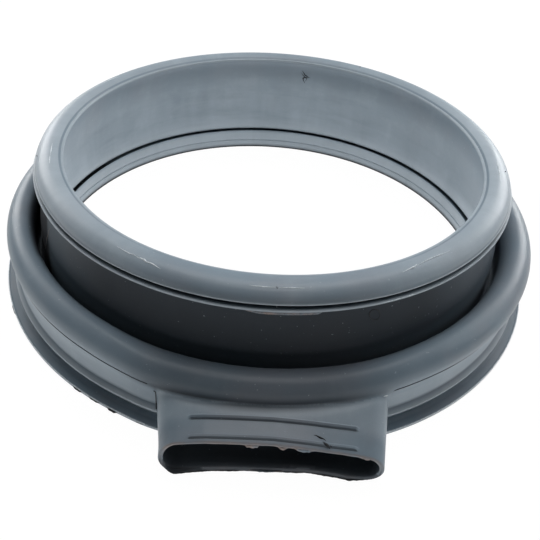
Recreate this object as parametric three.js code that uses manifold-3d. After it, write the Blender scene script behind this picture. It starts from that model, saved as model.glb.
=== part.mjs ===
// Door seal of a front-loading washer-dryer: one moulding of grey rubber.
// It lies on its tub side, as it would on a bench. The door side is up (+Z), the air duct points to -Y.
// The ring is one section turned about an upright axis, and the duct is a sheared tube that opens
// into the hollow under the bellows. All sizes are in millimetres.

import * as THREE from 'three';
import { mergeVertices } from 'three/addons/utils/BufferGeometryUtils.js';
import Module from 'manifold-3d';

const wasm = await Module();
wasm.setup();

// Rubber
const wall = 3.2; // thickness of the bellows
const rubberColour = 0x8c969e;

// Door lip: the rim that the door glass meets, and the groove that grips the front panel
const openingRadius = 148.3; // free opening at the rim
const rimWidth = 2; // narrow strip along the rim
const rimThickness = 1.8;
const rimRise = 0.3; // the strip slopes up by this, away from the opening
const rimDrop = 1.6; // the rim's edge below the crest
const rimBlend = 3; // how fast the strip runs into the crest
const lipCrestWidth = 8.7; // from the opening to where the lip starts to round over
const lipRound = 10.4; // from there to the lip's outer edge
const lipRise = 8.2; // from the lip's outer edge up to the crest
const lipWall = 4.2;
const grooveDepth = 5.9;
const grooveWidth = 2.6; // takes the folded edge of the panel
const panelRibOverhang = 1.8; // the rib behind the panel stands out past the lip
const panelRibThickness = 1.4;

// Neck and bellows
const neckStep = 1.5; // the neck stands out from the groove's bottom
const neckFillet = 2.4; // under the panel rib
const neckHeight = 43.5; // from the middle of the roll up to the panel rib
const neckFlare = 4.8; // the neck widens by this downwards
const foldWidth = 4.2; // gap between the neck and the roll
const foldDepth = 18.8; // from the middle of the roll down to the fold's round bottom
const rollRadius = 10.3; // outside of the big roll
const rollEndAngle = -40; // degrees, where the roll ends at the mould's parting line

// Foot: what grips the tub
const partingStep = 0.5; // the wall below the parting line stands back by this
const creaseSetback = 5.4; // from the roll's reach in to where the wall meets the rib
const creaseRise = 3.4; // the crease above the rib's edge
const bandRibWidth = 4; // rib above the clamp band
const bandRibThickness = 1.6;
const bandWidth = 6.8; // clamp band's seat
const bandSeatSetback = 1.2; // from the crease in to the seat's bottom
const flangeWidth = 9.6; // foot flange below the clamp band
const flangeThickness = 1.8;
const flangeRise = 0.6; // its top slopes up by this towards the seat
const footStep = 1.4; // the foot's inner face stands inside the neck's
const footRoof = 3.3; // rubber above the channel
const footChamfer = 0.8;
const drumGap = 1.9; // gap between the foot and the bottom of the fold
const channelDepth = 11.5; // channel that the rim of the tub enters
const channelInnerWall = 3.4;

// Air duct
const ductSpout = 18.4; // from the flange to the mouth
const ductOffset = 11; // the duct stands a little to one side of the axis
const ductWidth = 128;
const ductHeight = 22;
const ductWall = 2.6;
const ductSlope = 0.48; // rise for each millimetre towards the ring
const ductFlare = 1.3; // how much each side widens by the time it meets the ring
const ductArch = 3; // how far the middle of the mouth stands above its sides
const ductRibHeight = 0.8;
const ductRibWidth = 1.6;
const ductRibLength = 92; // the ribs cross the flat sides only
const ductRibSetbacks = [3.2, 12.6]; // from the mouth to the middle of each rib

// Fineness
const turnSegments = 60;
const arcSegments = 3; // each arc gets twice as many
const ductRows = 8; // points across the flat sides of the duct
const ductEndPoints = 5; // points round each end of the duct
const weldDistance = 1e-4; // corners nearer than this are one
const overhang = 1; // how far cutting solids run past what they cut

// Radii, from the opening outwards
const rimRadius = openingRadius + rimWidth;
const lipCrestRadius = openingRadius + lipCrestWidth;
const lipEdgeRadius = lipCrestRadius + lipRound;
const grooveRadius = lipEdgeRadius - grooveDepth;
const panelRibRadius = lipEdgeRadius + panelRibOverhang;
const neckTopRadius = grooveRadius + neckStep;
const neckFootRadius = neckTopRadius + neckFlare;
const foldRadius = foldWidth / 2;
const foldCentreRadius = neckFootRadius + foldRadius;
const rollInner = neckFootRadius + foldWidth;
const rollCentreRadius = rollInner + rollRadius;
const rollReach = rollCentreRadius + rollRadius;
const creaseRadius = rollReach - creaseSetback;
const bandSeatRadius = creaseRadius - bandSeatSetback;
const bandRibRadius = bandSeatRadius + bandRibWidth;
const flangeRadius = bandSeatRadius + flangeWidth;
const channelOuterRadius = bandSeatRadius - wall;
const footInnerRadius = neckFootRadius - wall - footStep;
const channelInnerRadius = footInnerRadius + channelInnerWall;
const ductReach = flangeRadius + ductSpout;

// Heights, from the bench upwards
const bandRibFoot = flangeThickness + bandWidth;
const bandRibTop = bandRibFoot + bandRibThickness;
const creaseHeight = bandRibTop + creaseRise;
const footHeight = channelDepth + footRoof;
const foldHeight = footHeight + drumGap + wall + foldRadius;
const rollHeight = foldHeight + foldDepth;
const neckTopHeight = rollHeight + neckHeight;
const grooveFoot = neckTopHeight + panelRibThickness;
const lipEdgeHeight = grooveFoot + grooveWidth;
const lipCrestHeight = lipEdgeHeight + lipRise;
const rimHeight = lipCrestHeight - rimDrop;
const neckBend = (neckTopHeight + rollHeight) / 2; // the neck widens downwards here

// The mould's parting line, at the end of the roll
const rollEnd = THREE.MathUtils.degToRad(rollEndAngle);
const partingRadius = rollCentreRadius + rollRadius * Math.cos(rollEnd);
const partingHeight = rollHeight + rollRadius * Math.sin(rollEnd);

// The ring's axis stands where the middle of the whole outline is at the origin
const ringCentreY = (ductReach - flangeRadius) / 2;

// The closed section of the ring, as x = radius and y = height, from the rim outwards and round
function ringSection() {
    const path = new THREE.Path();
    path.moveTo(openingRadius, rimHeight);
    path.lineTo(rimRadius, rimHeight + rimRise);
    path.quadraticCurveTo(rimRadius + rimBlend, lipCrestHeight, lipCrestRadius, lipCrestHeight);
    path.absellipse(lipCrestRadius, lipEdgeHeight, lipRound, lipRise, Math.PI / 2, 0, true);
    path.lineTo(grooveRadius, lipEdgeHeight);
    path.lineTo(grooveRadius, grooveFoot);
    path.lineTo(panelRibRadius, grooveFoot);
    path.lineTo(panelRibRadius, neckTopHeight);
    path.lineTo(neckTopRadius + neckFillet, neckTopHeight);
    path.quadraticCurveTo(neckTopRadius, neckTopHeight, neckTopRadius, neckTopHeight - neckFillet);
    path.bezierCurveTo(
        neckTopRadius, neckBend,
        neckFootRadius, neckBend,
        neckFootRadius, rollHeight);
    path.absarc(foldCentreRadius, foldHeight, foldRadius, Math.PI, 2 * Math.PI, false);
    path.absarc(rollCentreRadius, rollHeight, rollRadius, Math.PI, Math.PI / 2, true);
    path.absarc(rollCentreRadius, rollHeight, rollRadius, Math.PI / 2, rollEnd, true);
    path.lineTo(partingRadius - partingStep, partingHeight - partingStep);
    path.quadraticCurveTo(creaseRadius, (partingHeight + creaseHeight) / 2, creaseRadius, creaseHeight);
    path.lineTo(bandRibRadius, bandRibTop);
    path.lineTo(bandRibRadius, bandRibFoot);
    path.lineTo(bandSeatRadius, bandRibFoot);
    path.lineTo(bandSeatRadius, flangeThickness + flangeRise);
    path.lineTo(flangeRadius, flangeThickness);
    path.lineTo(flangeRadius, 0);
    path.lineTo(channelOuterRadius, 0);
    path.lineTo(channelOuterRadius, channelDepth);
    path.lineTo(channelInnerRadius, channelDepth);
    path.lineTo(channelInnerRadius, 0);
    path.lineTo(footInnerRadius, 0);
    path.lineTo(footInnerRadius, footHeight - footChamfer);
    path.lineTo(footInnerRadius + footChamfer, footHeight);
    path.lineTo(creaseRadius - wall, footHeight);
    path.absarc(rollCentreRadius, rollHeight, rollRadius - wall, rollEnd, Math.PI, false);
    path.absarc(foldCentreRadius, foldHeight, foldRadius + wall, 2 * Math.PI, Math.PI, true);
    path.lineTo(neckFootRadius - wall, rollHeight);
    path.bezierCurveTo(
        neckFootRadius - wall, neckBend,
        neckTopRadius - wall, neckBend,
        neckTopRadius - wall, neckTopHeight - neckFillet);
    path.bezierCurveTo(
        neckTopRadius - wall, lipEdgeHeight,
        lipCrestRadius, lipCrestHeight - lipWall,
        rimRadius, rimHeight - rimThickness);
    path.lineTo(openingRadius, rimHeight - rimThickness);
    path.closePath();
    return path.getPoints(arcSegments).reverse();
}

// The middle line of the outer wall: the duct's own wall starts here
function wallMiddle() {
    const half = wall / 2;
    return [
        new THREE.Vector2(0, -overhang),
        new THREE.Vector2(creaseRadius - half, -overhang),
        new THREE.Vector2(creaseRadius - half, creaseHeight),
        new THREE.Vector2(partingRadius - half, partingHeight),
        new THREE.Vector2(rollReach - half, rollHeight),
        new THREE.Vector2(rollReach - half, rimHeight),
        new THREE.Vector2(0, rimHeight),
        new THREE.Vector2(0, -overhang),
    ];
}

// A solid from a three.js geometry, with its shared corners merged
function solidOf(geometry) {
    geometry.deleteAttribute('normal');
    geometry.deleteAttribute('uv');
    const merged = mergeVertices(geometry, weldDistance);
    return new wasm.Manifold(new wasm.Mesh({
        numProp: 3,
        vertProperties: new Float32Array(merged.attributes.position.array),
        triVerts: new Uint32Array(merged.index.array),
    }));
}

// A closed outline turned about the ring's axis
function turned(points) {
    const geometry = new THREE.LatheGeometry(points, turnSegments);
    geometry.rotateX(Math.PI / 2);
    geometry.translate(0, ringCentreY, 0);
    return solidOf(geometry);
}

// The outline of the duct: two flat sides and two round ends, grown by the given margin
function ductOutline(margin) {
    const endRadius = ductHeight / 2 + margin;
    const flat = ductWidth / 2 - ductHeight / 2;
    const points = [];
    for (let i = 0; i < ductRows; i++) {
        const x = -flat + (2 * flat * i) / ductRows;
        points.push(new THREE.Vector2(x, -endRadius));
    }
    for (let i = 0; i < ductEndPoints; i++) {
        const angle = -Math.PI / 2 + (Math.PI * i) / ductEndPoints;
        points.push(new THREE.Vector2(flat + endRadius * Math.cos(angle), endRadius * Math.sin(angle)));
    }
    for (let i = 0; i < ductRows; i++) {
        const x = flat - (2 * flat * i) / ductRows;
        points.push(new THREE.Vector2(x, endRadius));
    }
    for (let i = 0; i < ductEndPoints; i++) {
        const angle = Math.PI / 2 + (Math.PI * i) / ductEndPoints;
        points.push(new THREE.Vector2(-flat + endRadius * Math.cos(angle), endRadius * Math.sin(angle)));
    }
    return points;
}

// A stretch of the duct between two distances from its mouth, along its slope and arch
function ductStretch(margin, start, end) {
    const geometry = new THREE.ExtrudeGeometry(new THREE.Shape(ductOutline(margin)), {
        depth: end - start,
        bevelEnabled: false,
    });
    geometry.rotateX(Math.PI / 2);
    geometry.translate(0, end, 0);
    const position = geometry.attributes.position;
    for (let i = 0; i < position.count; i++) {
        const across = position.getX(i) / (ductWidth / 2);
        const setback = position.getY(i);
        const height = position.getZ(i) + ductHeight / 2;
        const side = ductOffset + position.getX(i) + across * ductFlare * setback / ductSpout;
        const rise = ductSlope * setback + ductArch * (1 - across * across);
        position.setXYZ(i, side, ringCentreY - ductReach + setback, height + rise);
    }
    return solidOf(geometry);
}

// The duct before its bore is cut, with the ribs that hold its hose
function ductBody(length) {
    let body = ductStretch(0, 0, length);
    const ribZone = solidOf(new THREE.BoxGeometry(ductRibLength, 2 * ductReach, 2 * rimHeight)
        .translate(ductOffset, 0, 0));
    for (const setback of ductRibSetbacks) {
        const rib = ductStretch(ductRibHeight, setback - ductRibWidth / 2, setback + ductRibWidth / 2);
        body = body.add(rib.intersect(ribZone));
    }
    return body.subtract(turned(wallMiddle()));
}

// The duct's bore, which ends in the hollow under the roll
function ductBore(length) {
    const hollowMiddle = (rollInner + wall + rollCentreRadius) / 2;
    const core = solidOf(new THREE.CylinderGeometry(hollowMiddle, hollowMiddle, 2 * rimHeight, turnSegments)
        .rotateX(Math.PI / 2)
        .translate(0, ringCentreY, 0));
    return ductStretch(-ductWall, -overhang, length).subtract(core);
}

// The whole moulding
function doorSeal() {
    const sideReach = Math.abs(ductOffset) + ductWidth / 2;
    const ductLength = ductReach - Math.sqrt((creaseRadius - 2 * wall) ** 2 - sideReach ** 2);
    const solid = turned(ringSection())
        .add(ductBody(ductLength))
        .subtract(ductBore(ductLength));
    const mesh = solid.getMesh();
    const geometry = new THREE.BufferGeometry();
    geometry.setAttribute('position', new THREE.BufferAttribute(mesh.vertProperties, 3));
    geometry.setIndex(new THREE.BufferAttribute(mesh.triVerts, 1));
    geometry.computeVertexNormals();
    return geometry;
}

const rubber = new THREE.MeshStandardMaterial({ color: rubberColour, roughness: 0.55, metalness: 0 });
const seal = new THREE.Mesh(doorSeal(), rubber);
seal.name = 'door_seal';

const part = new THREE.Group();
part.add(seal);

export default part;
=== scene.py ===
import math

import bmesh
import bpy
import numpy as np
from mathutils import Matrix, Vector
from mathutils.bvhtree import BVHTree


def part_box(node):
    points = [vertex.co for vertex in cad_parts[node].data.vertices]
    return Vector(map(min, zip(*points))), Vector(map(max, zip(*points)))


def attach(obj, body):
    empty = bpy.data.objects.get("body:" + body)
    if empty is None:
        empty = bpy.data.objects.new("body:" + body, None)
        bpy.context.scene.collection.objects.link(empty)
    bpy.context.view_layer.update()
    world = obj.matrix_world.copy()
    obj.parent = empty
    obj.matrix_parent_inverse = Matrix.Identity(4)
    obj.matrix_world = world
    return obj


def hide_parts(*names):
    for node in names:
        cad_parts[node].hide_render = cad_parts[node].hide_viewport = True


bl_info = {
    "name": "Washer Door Seal",
    "version": (1, 0, 0),
    "blender": (4, 5, 0),
    "location": "3D View > Sidebar > Door Seal",
    "description": "Builds a rubber door seal with its air duct, moulding flash and nicks, in a plain studio",
    "category": "Object",
}

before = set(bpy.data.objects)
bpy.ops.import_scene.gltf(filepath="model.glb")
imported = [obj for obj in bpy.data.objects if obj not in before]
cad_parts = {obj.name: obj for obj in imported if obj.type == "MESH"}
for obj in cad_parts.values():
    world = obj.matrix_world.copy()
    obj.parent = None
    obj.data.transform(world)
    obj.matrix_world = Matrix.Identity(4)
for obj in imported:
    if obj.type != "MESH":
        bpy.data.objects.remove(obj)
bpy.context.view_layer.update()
LOW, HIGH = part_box("door_seal")
FLANGE_RADIUS = (HIGH.x - LOW.x) / 2
RING_Y = HIGH.y - FLANGE_RADIUS
DUCT_REACH = RING_Y - LOW.y
CREST = HIGH.z
MM = 0.001
TURN_STEPS, TRIM_STEPS = 288, 240
FRONT_CROWDING = 0.5
FLAT_STEPS, END_STEPS = 112, 20
SECTION_STEP = 4.0 * MM
FOOT_LIP = 2.3 * MM
PARTING_ANGLE = -40
LINE_STEP = 0.006
STROKE_SEED, FLASH_SEED = 3.0, 5.0


# Sizes and colours that a user would change

def length(text, millimetres):
    return bpy.props.FloatProperty(description=text, default=millimetres * MM, unit='LENGTH', precision=4)


def factor(text, value, most=1.0):
    return bpy.props.FloatProperty(description=text, default=value, min=0.0, max=most)


def colour(text, value):
    return bpy.props.FloatVectorProperty(
        description=text, default=value, subtype='COLOR', size=3, min=0.0, max=1.0)


def angle(text, degrees):
    return bpy.props.FloatProperty(description=text, default=math.radians(degrees), subtype='ANGLE')


class SealSizes(bpy.types.PropertyGroup):
    """Sizes of the moulding"""
    wall: length("Thickness of the bellows", 3.2)
    opening_radius: length("Free opening at the rim", 148.3)
    rim_width: length("Narrow strip along the opening", 2.0)
    rim_thickness: length("Rubber at the edge of the opening", 1.8)
    lip_crest_radius: length("Where the lip starts to round over", 157.0)
    lip_edge_radius: length("Outer edge of the rounded lip", 167.4)
    lip_rise: length("From the lip's outer edge up to its crest", 8.2)
    groove_depth: length("How far the front panel enters", 5.9)
    groove_width: length("Gap that takes the front panel's edge", 2.6)
    panel_rib_radius: length("Rib behind the front panel", 169.2)
    panel_rib_thickness: length("Rib behind the front panel", 1.4)
    neck_top_radius: length("Neck just under the panel rib", 163.0)
    neck_foot_radius: length("Neck at the bottom of the fold", 167.8)
    fold_height: length("Centre of the fold's round bottom", 22.0)
    roll_radius: length("Outside of the big roll", 10.3)
    roll_height: length("Middle of the roll above the bench", 40.8)
    roll_reach: length("Outermost radius of the roll", 192.6)
    parting_step: length("Step at the mould's parting line", 0.5)
    crease_radius: length("Where the wall meets the band rib", 187.2)
    crease_height: length("Where the wall meets the band rib", 13.6)
    band_rib_radius: length("Rib above the clamp band", 190.0)
    band_rib_height: length("Top edge of the rib", 10.2)
    band_rib_thickness: length("Rib above the clamp band", 1.6)
    band_seat_radius: length("Bottom of the clamp band's seat", 186.0)
    flange_thickness: length("Foot flange below the clamp band", 1.8)
    foot_inner_radius: length("Inner face of the foot", 163.2)
    foot_height: length("Top of the foot inside", 14.8)
    channel_depth: length("Channel for the tub's rim", 11.5)
    channel_inner_wall: length("Rubber inside the channel", 3.4)
    duct_offset: length("The duct stands to one side of the axis", 11.0)
    duct_width: length("Mouth of the air duct", 128.0)
    duct_height: length("Mouth of the air duct", 22.0)
    duct_wall: length("Thickness of the air duct", 2.6)
    duct_slope: factor("Rise of the duct towards the ring", 0.48)
    duct_flare: length("How much each side widens towards the ring", 1.3)
    duct_arch: length("Rise of the middle of the mouth", 3.0)
    mouth_side: length("Rubber at the sides of the mouth", 3.0)
    mouth_top: length("Rubber at the top of the mouth", 1.3)
    mouth_bottom: length("Rubber at the bottom of the mouth", 3.6)
    duct_rib_height: length("Ribs that hold the hose", 1.1)
    duct_rib_width: length("Ribs that hold the hose", 2.2)
    duct_rib_length: length("Ribs that hold the hose", 94.0)
    root_blend: length("Soft corner beside the duct", 5.0)
    root_crease: length("Sharper corner above the middle of the duct", 1.8)


class RubberFinish(bpy.types.PropertyGroup):
    """Look of the rubber"""
    base: colour("Blue-grey rubber", (0.163, 0.216, 0.262))
    # Painted light: the paler colour that stands in for extra light on the inner wall, the foot, the lip's
    # sides, the outer wall's sides, the band's seat and the duct's top
    pale: colour("Inner wall and foot, paler and chalkier", (0.385, 0.455, 0.515))
    # Painted shade: the dark colour that stands in for shade in the folds, on the neck, in the groove and
    # inside the duct; also a dark tone in the grain of the flash and the nicks
    shadowed: colour("Rubber in the folds, darker and browner", (0.030, 0.034, 0.041))
    # Pale blooming patches, also the colour of edges paler from wear, of painted edge highlights and of
    # painted glints
    bloom: colour("Pale bloom on handled rubber", (0.45, 0.51, 0.56))
    warm: colour("Slightly warmer patches", (0.25, 0.245, 0.27))
    torn: colour("Pale torn edges and flash", (0.30, 0.25, 0.235))
    # Painted glints: the colour of the whitish strokes that stand in for small lights caught on the lip and
    # its rib
    glint: colour("Pale scuffs on the lip", (0.78, 0.84, 0.88))
    nick: colour("Dark nicks and specks", (0.012, 0.014, 0.018))
    roughness: factor("Satin finish of the rubber", 0.46)
    coat: factor("Faint gloss that catches small lights", 0.12)


class StageSettings(bpy.types.PropertyGroup):
    """Camera and light"""
    elevation: angle("Camera above the horizon", 37.1)
    turn: angle("Camera turned about its view", 4.04)
    distance: length("Camera to the middle of the foot", 610.0)
    focal: bpy.props.FloatProperty(description="Focal length in pixels of the photograph", default=768.7)
    middle: bpy.props.FloatVectorProperty(
        description="Where the view's axis meets the photograph", size=2, default=(266.5, 249.0))
    top_power: factor("Power of the softbox above", 6.0, 100.0)
    back_power: factor("Power of the softbox above and behind", 6.0, 100.0)
    left_power: factor("Power of the softbox behind on the left", 8.2, 100.0)
    right_power: factor("Power of the softbox behind on the right", 8.6, 100.0)
    side_left_power: factor("Power of the softbox at the left", 0.8, 100.0)
    side_right_power: factor("Power of the softbox at the right", 2.8, 100.0)
    floor_glow: factor("Light that the white table gives", 0.6, 5.0)
    ambient: factor("Light from all around", 0.03, 5.0)


# Section of the ring

class Outline:
    """Points of a section in metres, with rounded corners, arcs and curves"""

    def __init__(self):
        self.corners = []

    def to(self, radius, height, fillet=0.0):
        self.corners.append((radius, height, fillet))
        return self

    def through(self, *corners):
        for corner in corners:
            self.to(*corner)
        return self

    def arc(self, centre, radii, start, end, steps):
        for i in range(steps + 1):
            angle = math.radians(start + (end - start) * i / steps)
            self.to(centre[0] + radii[0] * math.cos(angle), centre[1] + radii[1] * math.sin(angle))
        return self

    def curve(self, controls, steps):
        """A Bezier curve from the last point through two or three further controls"""
        controls = [np.array(self.corners[-1][:2])] + [np.array(c) for c in controls]
        degree = len(controls) - 1
        for i in range(1, steps + 1):
            t = i / steps
            point = sum(
                math.comb(degree, k) * t ** k * (1 - t) ** (degree - k) * c for k, c in enumerate(controls))
            self.to(point[0], point[1])
        return self

    def points(self, longest, closed=True):
        rounded = []
        count = len(self.corners)
        for i, (r, z, fillet) in enumerate(self.corners):
            here = np.array((r, z))
            if fillet == 0.0:
                rounded.append(here)
                continue
            before = np.array(self.corners[i - 1][:2])
            after = np.array(self.corners[(i + 1) % count][:2])
            back = (before - here) / np.linalg.norm(before - here)
            ahead = (after - here) / np.linalg.norm(after - here)
            half = math.acos(max(-1.0, min(1.0, float(back @ ahead)))) / 2
            reach = fillet / math.tan(half)
            start = here + back * reach
            end = here + ahead * reach
            for t in (0.0, 0.5, 1.0):
                rounded.append((1 - t) ** 2 * start + 2 * t * (1 - t) * here + t ** 2 * end)
        finished = []
        stretches = len(rounded) if closed else len(rounded) - 1
        for i in range(stretches):
            a = rounded[i]
            b = rounded[(i + 1) % len(rounded)]
            gap = float(np.linalg.norm(b - a))
            if gap < 0.02 * MM:
                continue
            pieces = max(1, math.ceil(gap / longest))
            finished.extend(a + (b - a) * k / pieces for k in range(pieces))
        if not closed:
            finished.append(rounded[-1])
        return np.array(finished)


def heights(s):
    """Heights that several outlines share, measured down from the crest of the lip"""
    edge = CREST - s.lip_rise
    groove_foot = edge - s.groove_width
    return edge, groove_foot, groove_foot - s.panel_rib_thickness


def parting(s):
    """Where the roll ends at the mould's parting line"""
    angle = math.radians(PARTING_ANGLE)
    centre = s.roll_reach - s.roll_radius
    return centre + s.roll_radius * math.cos(angle), s.roll_height + s.roll_radius * math.sin(angle)


def outer_wall(s, outline):
    """From the fold over the roll, down the wall and over the foot to the bench"""
    fold_gap = (s.roll_reach - 2 * s.roll_radius - s.neck_foot_radius) / 2
    centre = s.roll_reach - s.roll_radius
    part_r, part_z = parting(s)
    step_r = part_r - s.parting_step
    rib_foot = s.band_rib_height - s.band_rib_thickness
    outline.arc((s.neck_foot_radius + fold_gap, s.fold_height), (fold_gap, fold_gap), 180, 360, 10)
    outline.arc((centre, s.roll_height), (s.roll_radius, s.roll_radius), 180, PARTING_ANGLE, 28)
    outline.through(
        (part_r - 0.12 * MM, part_z - 0.22 * MM),
        (step_r - 0.7 * MM, part_z - 0.3 * MM),
        (step_r - 0.75 * MM, part_z - 0.6 * MM),
        (step_r - 0.05 * MM, part_z - 0.85 * MM))
    outline.curve([
        (s.crease_radius + 0.3 * MM, part_z - 5 * MM),
        (s.crease_radius, s.crease_height + 6 * MM),
        (s.crease_radius, s.crease_height)], 12)
    return outline.through(
        (s.crease_radius + 0.2 * MM, s.crease_height - 0.6 * MM, 0.3 * MM),
        (s.band_rib_radius, s.band_rib_height, 0.45 * MM),
        (s.band_rib_radius, rib_foot, 0.35 * MM),
        (s.band_seat_radius, rib_foot, 0.5 * MM),
        (s.band_seat_radius, s.flange_thickness + 0.6 * MM, 0.8 * MM),
        (FLANGE_RADIUS - 1.2 * MM, s.flange_thickness + 0.1 * MM, 0.2 * MM),
        (FLANGE_RADIUS - 0.5 * MM, s.flange_thickness + 0.35 * MM, 0.2 * MM),
        (FLANGE_RADIUS, s.flange_thickness - 0.1 * MM, 0.2 * MM),
        (FLANGE_RADIUS, 0.0, 0.3 * MM))


def ring_section(s):
    """The whole closed section, from the rim outwards and round"""
    edge, groove_foot, neck_top = heights(s)
    rim = CREST - 1.6 * MM
    rim_radius = s.opening_radius + s.rim_width
    fold_gap = (s.roll_reach - 2 * s.roll_radius - s.neck_foot_radius) / 2
    bend = (neck_top + s.roll_height) / 2
    centre = s.roll_reach - s.roll_radius
    groove_radius = s.lip_edge_radius - s.groove_depth
    outline = Outline().through(
        (s.opening_radius, rim, 0.5 * MM),
        (rim_radius - 0.3 * MM, rim + 0.05 * MM, 0.3 * MM),
        (rim_radius, rim + 0.45 * MM, 0.25 * MM))
    outline.curve([(rim_radius + 3 * MM, CREST), (s.lip_crest_radius, CREST)], 8)
    outline.arc(
        (s.lip_crest_radius, edge), (s.lip_edge_radius - s.lip_crest_radius, s.lip_rise), 90, 6, 16)
    outline.through(
        (s.lip_edge_radius + 0.1 * MM, edge + 0.75 * MM),
        (s.lip_edge_radius + 0.55 * MM, edge + 0.55 * MM, 0.15 * MM),
        (s.lip_edge_radius + 0.5 * MM, edge, 0.25 * MM),
        (groove_radius, edge - 0.1 * MM, 0.4 * MM),
        (groove_radius, groove_foot, 0.4 * MM),
        (s.panel_rib_radius, groove_foot, 0.35 * MM),
        (s.panel_rib_radius, neck_top, 0.35 * MM),
        (s.neck_top_radius + 0.1 * MM, neck_top - 0.3 * MM, 1.6 * MM),
        (s.neck_top_radius, neck_top - 4 * MM))
    outline.curve([
        (s.neck_top_radius, bend), (s.neck_foot_radius, bend), (s.neck_foot_radius, s.roll_height)], 12)
    outer_wall(s, outline)
    channel_outer = s.band_seat_radius - s.wall
    channel_inner = s.foot_inner_radius + s.channel_inner_wall
    foot = s.foot_inner_radius
    outline.through(
        (channel_outer, 0.0, 0.5 * MM),
        (channel_outer, s.channel_depth, 1.2 * MM),
        (channel_inner, s.channel_depth, 1.2 * MM),
        (channel_inner, 0.0, 0.5 * MM),
        (foot, 0.0, 0.4 * MM),
        (foot, 6.8 * MM, 0.15 * MM),
        (foot + 0.5 * MM, 7.1 * MM, 0.12 * MM),
        (foot + 0.5 * MM, 7.8 * MM, 0.12 * MM),
        (foot + 0.1 * MM, 8.1 * MM, 0.15 * MM),
        (foot + 0.1 * MM, s.foot_height + FOOT_LIP, 0.45 * MM),
        (foot + 1.4 * MM, s.foot_height + FOOT_LIP, 0.45 * MM),
        (foot + 2.6 * MM, s.foot_height, 0.6 * MM),
        (s.crease_radius - s.wall, s.foot_height, 1.0 * MM))
    outline.arc((centre, s.roll_height), (s.roll_radius - s.wall,) * 2, PARTING_ANGLE, 180, 10)
    outline.arc((s.neck_foot_radius + fold_gap, s.fold_height), (fold_gap + s.wall,) * 2, 360, 180, 8)
    outline.to(s.neck_foot_radius - s.wall, s.roll_height)
    outline.curve([
        (s.neck_foot_radius - s.wall, bend), (s.neck_top_radius - s.wall, bend),
        (s.neck_top_radius - s.wall, neck_top - 3 * MM)], 12)
    outline.curve([
        (s.neck_top_radius - s.wall, edge), (s.lip_crest_radius, CREST - 4.2 * MM),
        (rim_radius, rim - s.rim_thickness)], 12)
    outline.to(s.opening_radius, rim - s.rim_thickness, 0.5 * MM)
    return outline.points(SECTION_STEP)


# Node trees

class Wired:
    """A node's output that can be added, subtracted, multiplied and divided"""

    def __init__(self, nodes, socket):
        self.nodes = nodes
        self.socket = socket

    def other(self, name):
        """Another output of the same node"""
        return Wired(self.nodes, self.socket.node.outputs[name])

    def __add__(self, other):
        return self.nodes.maths('ADD', self, other)

    def __radd__(self, other):
        return self.nodes.maths('ADD', other, self)

    def __sub__(self, other):
        return self.nodes.maths('SUBTRACT', self, other)

    def __rsub__(self, other):
        return self.nodes.maths('SUBTRACT', other, self)

    def __mul__(self, other):
        return self.nodes.maths('MULTIPLY', self, other)

    def __rmul__(self, other):
        return self.nodes.maths('MULTIPLY', other, self)

    def __truediv__(self, other):
        return self.nodes.maths('DIVIDE', self, other)

    def __rtruediv__(self, other):
        return self.nodes.maths('DIVIDE', other, self)


class Nodes:
    """A node tree of a material, the world or a modifier"""

    def __init__(self, tree):
        self.tree = tree

    def add(self, kind, settings=None, sockets=None, output=0):
        """One node: its type, its settings or a ramp's stops, and the values or links of its sockets"""
        node = self.tree.nodes.new(kind)
        for key, value in (settings or {}).items():
            if key == 'stops':
                self.set_stops(node, value)
            else:
                setattr(node, key, value)
        for key, value in (sockets or {}).items():
            if isinstance(value, Wired):
                self.tree.links.new(value.socket, node.inputs[key])
            else:
                node.inputs[key].default_value = value
        return Wired(self, node.outputs[output]) if node.outputs else node

    def set_stops(self, node, stops):
        elements = node.color_ramp.elements
        while len(elements) < len(stops):
            elements.new(1.0)
        for element, (place, level) in zip(elements, stops):
            element.position = place
            element.color = (level, level, level, 1.0)

    def maths(self, operation, a, b=0.0):
        return self.add('ShaderNodeMath', {'operation': operation}, {0: a, 1: b})


class Growth(Nodes):
    """A Geometry Nodes tree with named inputs"""

    def __init__(self, name):
        super().__init__(bpy.data.node_groups.new(name, 'GeometryNodeTree'))
        for way in ('INPUT', 'OUTPUT'):
            self.tree.interface.new_socket("Geometry", in_out=way, socket_type='NodeSocketGeometry')
        self.inputs = self.tree.nodes.new('NodeGroupInput')
        self.given = Wired(self, self.inputs.outputs[0])
        self.identifiers = {}

    def input(self, name, kind='Float', value=None):
        socket = self.tree.interface.new_socket(name, in_out='INPUT', socket_type='NodeSocket' + kind)
        if value is not None:
            socket.default_value = value
        self.identifiers[name] = socket.identifier
        return Wired(self, self.inputs.outputs[name])

    def finish(self, geometry):
        """Realizes the instances and gives everything the material of one last input"""
        paint = self.input("Material", 'Material')
        whole = self.add('GeometryNodeRealizeInstances', None, {'Geometry': geometry})
        painted = self.add('GeometryNodeSetMaterial', None, {'Geometry': whole, 'Material': paint})
        self.add('NodeGroupOutput', None, {0: painted})
        return self


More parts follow.
